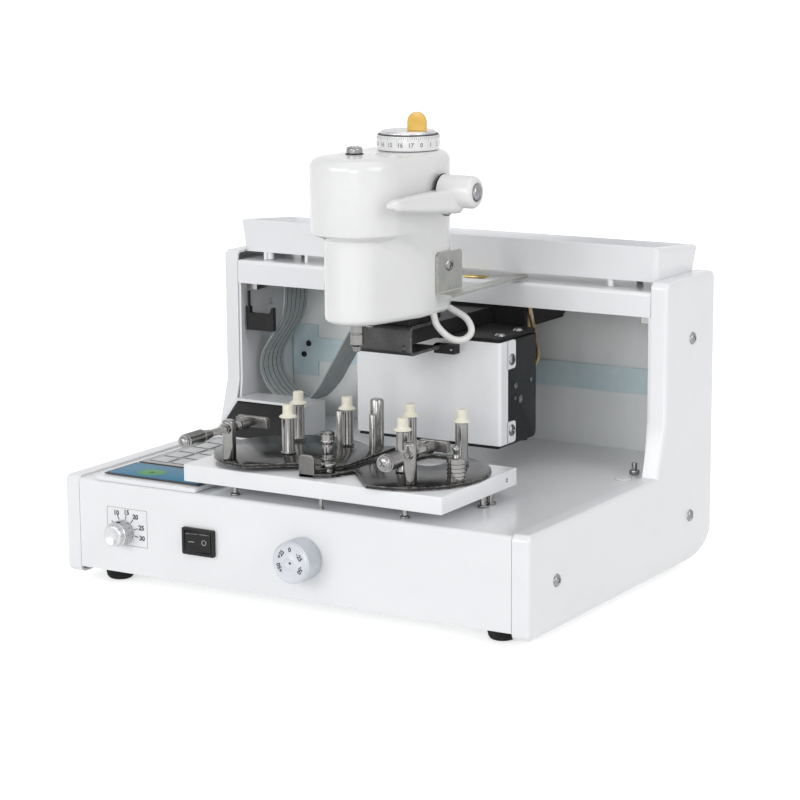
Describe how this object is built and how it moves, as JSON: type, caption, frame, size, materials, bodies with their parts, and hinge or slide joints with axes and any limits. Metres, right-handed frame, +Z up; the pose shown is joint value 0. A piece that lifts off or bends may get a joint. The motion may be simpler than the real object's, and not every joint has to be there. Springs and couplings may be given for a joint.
{
  "type": "lens drilling machine",
  "caption": "Desktop drilling machine for spectacle lenses with twin clamps, sliding drill head, feed lever and parts tray",
  "frame": {"origin": "on the bench, under the middle of the bounding box of the whole machine", "axes": "+X to the machine's right as seen from the operator's side, +Y to the back, +Z up"},
  "size_m": [0.299, 0.2606, 0.2626],
  "materials": {
    "white_paint": "satin powder coat",
    "white_mould": "smooth moulded",
    "light_grey": "satin paint",
    "galvanised": "zinc plated",
    "bright_steel": "turned and polished",
    "dark_steel": "dark polished plate",
    "black_metal": "black anodised",
    "black_plastic": "fine matt texture",
    "rubber": "matt",
    "aluminium": "turned",
    "display": "clear window over a dark display",
    "keypad": "silver film",
    "yellow": "smooth",
    "white_sleeve": "satin sleeve",
    "grey_sleeve": "satin sleeve"
  },
  "bodies": {
    "case": {"side_panel_right": "white_paint", "side_panel_left": "white_paint", "front_top_cover": "white_paint", "rear_pan": "light_grey", "beam_frame": "white_paint", "parts_tray": "white_paint", "rail_strip": "galvanised", "rear_housing": "white_paint", "housing_front": "black_plastic", "cable_hook": "black_plastic", "rubber_foot_front_left": "rubber", "rubber_foot_front_right": "rubber", "rubber_foot_rear_left": "rubber", "rubber_foot_rear_right": "rubber", "mains_inlet": "black_plastic", "switch_body": "black_plastic", "control_plate": "white_paint", "display_window": "display", "membrane_keypad": "keypad", "table_plate": "white_paint", "pivot_disc": "bright_steel", "guide_rods": "bright_steel", "ribbon_cable": "grey_sleeve"},
    "speed_control": {"speed_knob": "aluminium"},
    "offset_control": {"offset_dial": "aluminium"},
    "rocker": {"switch_rocker": "black_plastic"},
    "cross_screw": {"lead_screw": "bright_steel"},
    "carriage": {"bearing_block": "black_metal", "carriage_plate": "black_metal", "carriage_wires": "yellow", "head_channel": "dark_steel", "limit_switch": "black_plastic", "motor_case": "black_plastic", "motor_cover": "white_paint"},
    "head": {"head_housing": "white_mould", "head_bracket": "galvanised", "head_slide": "black_metal", "head_cable": "white_sleeve"},
    "lever": {"feed_lever": "white_mould", "feed_fork": "bright_steel"},
    "quill": {"quill_motor": "bright_steel"},
    "chuck": {"drill_chuck": "bright_steel"},
    "depth_stop": {"depth_dial": "white_mould", "depth_tab": "yellow"},
    "left_clamp": {"clamp_plate_left": "dark_steel", "lens_post_left_front": "bright_steel", "lens_post_left_rear_left": "bright_steel", "lens_post_left_rear_right": "bright_steel", "spindle_post_left": "bright_steel"},
    "right_clamp": {"clamp_plate_right": "dark_steel", "lens_post_right_front": "bright_steel", "lens_post_right_rear_left": "bright_steel", "lens_post_right_rear_right": "bright_steel", "spindle_post_right": "bright_steel"},
    "left_jaw": {"jaw_left": "bright_steel"},
    "right_jaw": {"jaw_right": "bright_steel"},
    "left_spindle": {"spindle_left": "bright_steel"},
    "right_spindle": {"spindle_right": "bright_steel"},
    "clamp_lock": {"thumb_screw": "bright_steel"},
    "plunger": {"spring_plunger": "bright_steel"}
  },
  "joints": [
    {"name": "carriage_travel", "type": "slide", "parent": "case", "child": "carriage", "axis": [1, 0, 0], "range_m": [-0.042, 0.034]},
    {"name": "cross_screw_turn", "type": "hinge", "parent": "case", "child": "cross_screw", "pos_m": [-0.1351, 0.0963, 0.1515], "axis": [1, 0, 0], "range_deg": [-7600, 6200]},
    {"name": "head_reach", "type": "slide", "parent": "carriage", "child": "head", "axis": [0, 1, 0], "range_m": [-0.012, 0.012]},
    {"name": "feed_turn", "type": "hinge", "parent": "head", "child": "lever", "pos_m": [0.0215, -0.0077, 0.2215], "axis": [1, 0, 0], "range_deg": [0, 22]},
    {"name": "quill_feed", "type": "slide", "parent": "head", "child": "quill", "axis": [0, 0, 1], "range_m": [-0.0177, 0]},
    {"name": "chuck_spin", "type": "hinge", "parent": "quill", "child": "chuck", "pos_m": [0.0215, -0.0517, 0.138], "axis": [0, 0, 1], "continuous": true},
    {"name": "depth_turn", "type": "hinge", "parent": "head", "child": "depth_stop", "pos_m": [0.0245, -0.0022, 0.2423], "axis": [0, 0, 1], "range_deg": [-160, 160]},
    {"name": "speed_turn", "type": "hinge", "parent": "case", "child": "speed_control", "pos_m": [-0.1069, -0.0917, 0.032], "axis": [0, 1, 0], "range_deg": [-135, 135]},
    {"name": "offset_turn", "type": "hinge", "parent": "case", "child": "offset_control", "pos_m": [0.012, -0.0917, 0.0325], "axis": [0, 1, 0], "range_deg": [-150, 150]},
    {"name": "rocker_tilt", "type": "hinge", "parent": "case", "child": "rocker", "pos_m": [-0.0555, -0.0908, 0.0329], "axis": [0, 0, 1], "range_deg": [-14, 0]},
    {"name": "left_clamp_swing", "type": "hinge", "parent": "case", "child": "left_clamp", "pos_m": [0.0185, -0.0767, 0.0755], "axis": [0, 0, 1], "range_deg": [-4, 4]},
    {"name": "right_clamp_swing", "type": "hinge", "parent": "case", "child": "right_clamp", "pos_m": [0.0185, -0.0767, 0.0755], "axis": [0, 0, 1], "range_deg": [-4, 4]},
    {"name": "left_jaw_push", "type": "slide", "parent": "left_clamp", "child": "left_jaw", "axis": [0, 1, 0], "range_m": [-0.005, 0.013]},
    {"name": "right_jaw_push", "type": "slide", "parent": "right_clamp", "child": "right_jaw", "axis": [0, 1, 0], "range_m": [-0.01, 0.0035]},
    {"name": "left_spindle_turn", "type": "hinge", "parent": "left_jaw", "child": "left_spindle", "pos_m": [-0.038, -0.1287, 0.097], "axis": [0, 1, 0], "range_deg": [-1850, 4700]},
    {"name": "right_spindle_turn", "type": "hinge", "parent": "right_jaw", "child": "right_spindle", "pos_m": [0.073, -0.1093, 0.0937], "axis": [0, 1, 0], "range_deg": [-3650, 1300]},
    {"name": "lock_turn", "type": "hinge", "parent": "left_clamp", "child": "clamp_lock", "pos_m": [0.0105, -0.0647, 0.0802], "axis": [0, 0, 1], "range_deg": [-180, 180]},
    {"name": "plunger_press", "type": "slide", "parent": "right_clamp", "child": "plunger", "axis": [0, 0, 1], "range_m": [-0.003, 0], "stiffness_N_per_m": 150, "springref_m": 0.002}
  ],
  "couplings": [
    {"joint": "feed_turn", "follows": "quill_feed", "rad_per_m": -21.6},
    {"joint": "cross_screw_turn", "follows": "carriage_travel", "rad_per_m": 3141.6},
    {"joint": "left_spindle_turn", "follows": "left_jaw_push", "rad_per_m": 6283.2},
    {"joint": "right_spindle_turn", "follows": "right_jaw_push", "rad_per_m": 6283.2}
  ]
}
